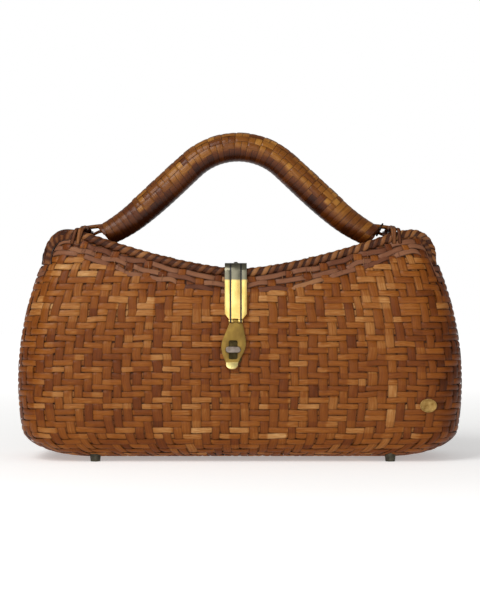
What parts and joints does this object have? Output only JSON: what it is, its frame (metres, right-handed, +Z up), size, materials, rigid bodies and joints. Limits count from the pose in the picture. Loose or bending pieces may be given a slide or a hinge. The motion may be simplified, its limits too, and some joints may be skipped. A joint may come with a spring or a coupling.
{
  "type": "basket box bag",
  "caption": "Woven cane handbag with rounded shoulders, a saddle-shaped hinged lid, a cane-wrapped arch handle, a brass turn hasp and metal feet.",
  "frame": {"origin": "centre of the bounding box at the bottom of the feet", "axes": "+Z up, front with the hasp towards -Y, +X to the right seen from the front"},
  "size_m": [0.3196, 0.101, 0.2377],
  "materials": {
    "woven_cane": "varnished woven cane strip",
    "cane_rim": "varnished whip-stitched cane",
    "cane_wrap": "glossy varnished cane binding",
    "cane_core": "bare cane",
    "aged_brass": "worn satin",
    "olive_brass": "dull aged",
    "turn_steel": "dull",
    "foot_metal": "dark tarnished"
  },
  "bodies": {
    "basket": {"basket_shell": "woven_cane", "foot_front_left": "foot_metal", "foot_front_right": "foot_metal", "foot_back_left": "foot_metal", "foot_back_right": "foot_metal", "foot_washers": "foot_metal", "hinge_lower_leaf_left": "aged_brass", "hinge_lower_leaf_right": "aged_brass", "hinge_pin_left": "aged_brass", "hinge_pin_right": "aged_brass", "hinge_rivets_lower": "aged_brass", "lock_plate": "olive_brass", "lock_rivets": "aged_brass", "badge": "aged_brass"},
    "lid": {"lid_rim": "cane_rim", "lid_panel": "woven_cane", "hinge_upper_leaf_left": "aged_brass", "hinge_upper_leaf_right": "aged_brass", "hinge_rivets_upper": "aged_brass", "hasp_strap": "aged_brass", "hasp_pin": "olive_brass", "hasp_rivets": "aged_brass", "handle_lashing_left": "cane_wrap", "handle_lashing_right": "cane_wrap"},
    "handle": {"handle_core": "cane_core", "handle_wrap": "cane_wrap"},
    "hasp": {"hasp_plate": "olive_brass"},
    "turn": {"turn_bar": "turn_steel"}
  },
  "joints": [
    {"name": "lid_hinge", "type": "hinge", "parent": "basket", "child": "lid", "pos_m": [0, 0.04098, 0.14127], "axis": [-1, 0, 0], "range_deg": [0, 105]},
    {"name": "hasp_hinge", "type": "hinge", "parent": "lid", "child": "hasp", "pos_m": [-0.003, -0.04397, 0.1], "axis": [-1, 0, 0], "range_deg": [0, 135]},
    {"name": "turn_bar_pivot", "type": "hinge", "parent": "basket", "child": "turn", "pos_m": [-0.0048, -0.04404, 0.0795], "axis": [0, -0.9949, 0.1011], "range_deg": [0, 90]},
    {"name": "handle_rock", "type": "hinge", "parent": "lid", "child": "handle", "pos_m": [0, 0.00194, 0.169], "axis": [1, 0, 0], "range_deg": [-25, 25]}
  ]
}
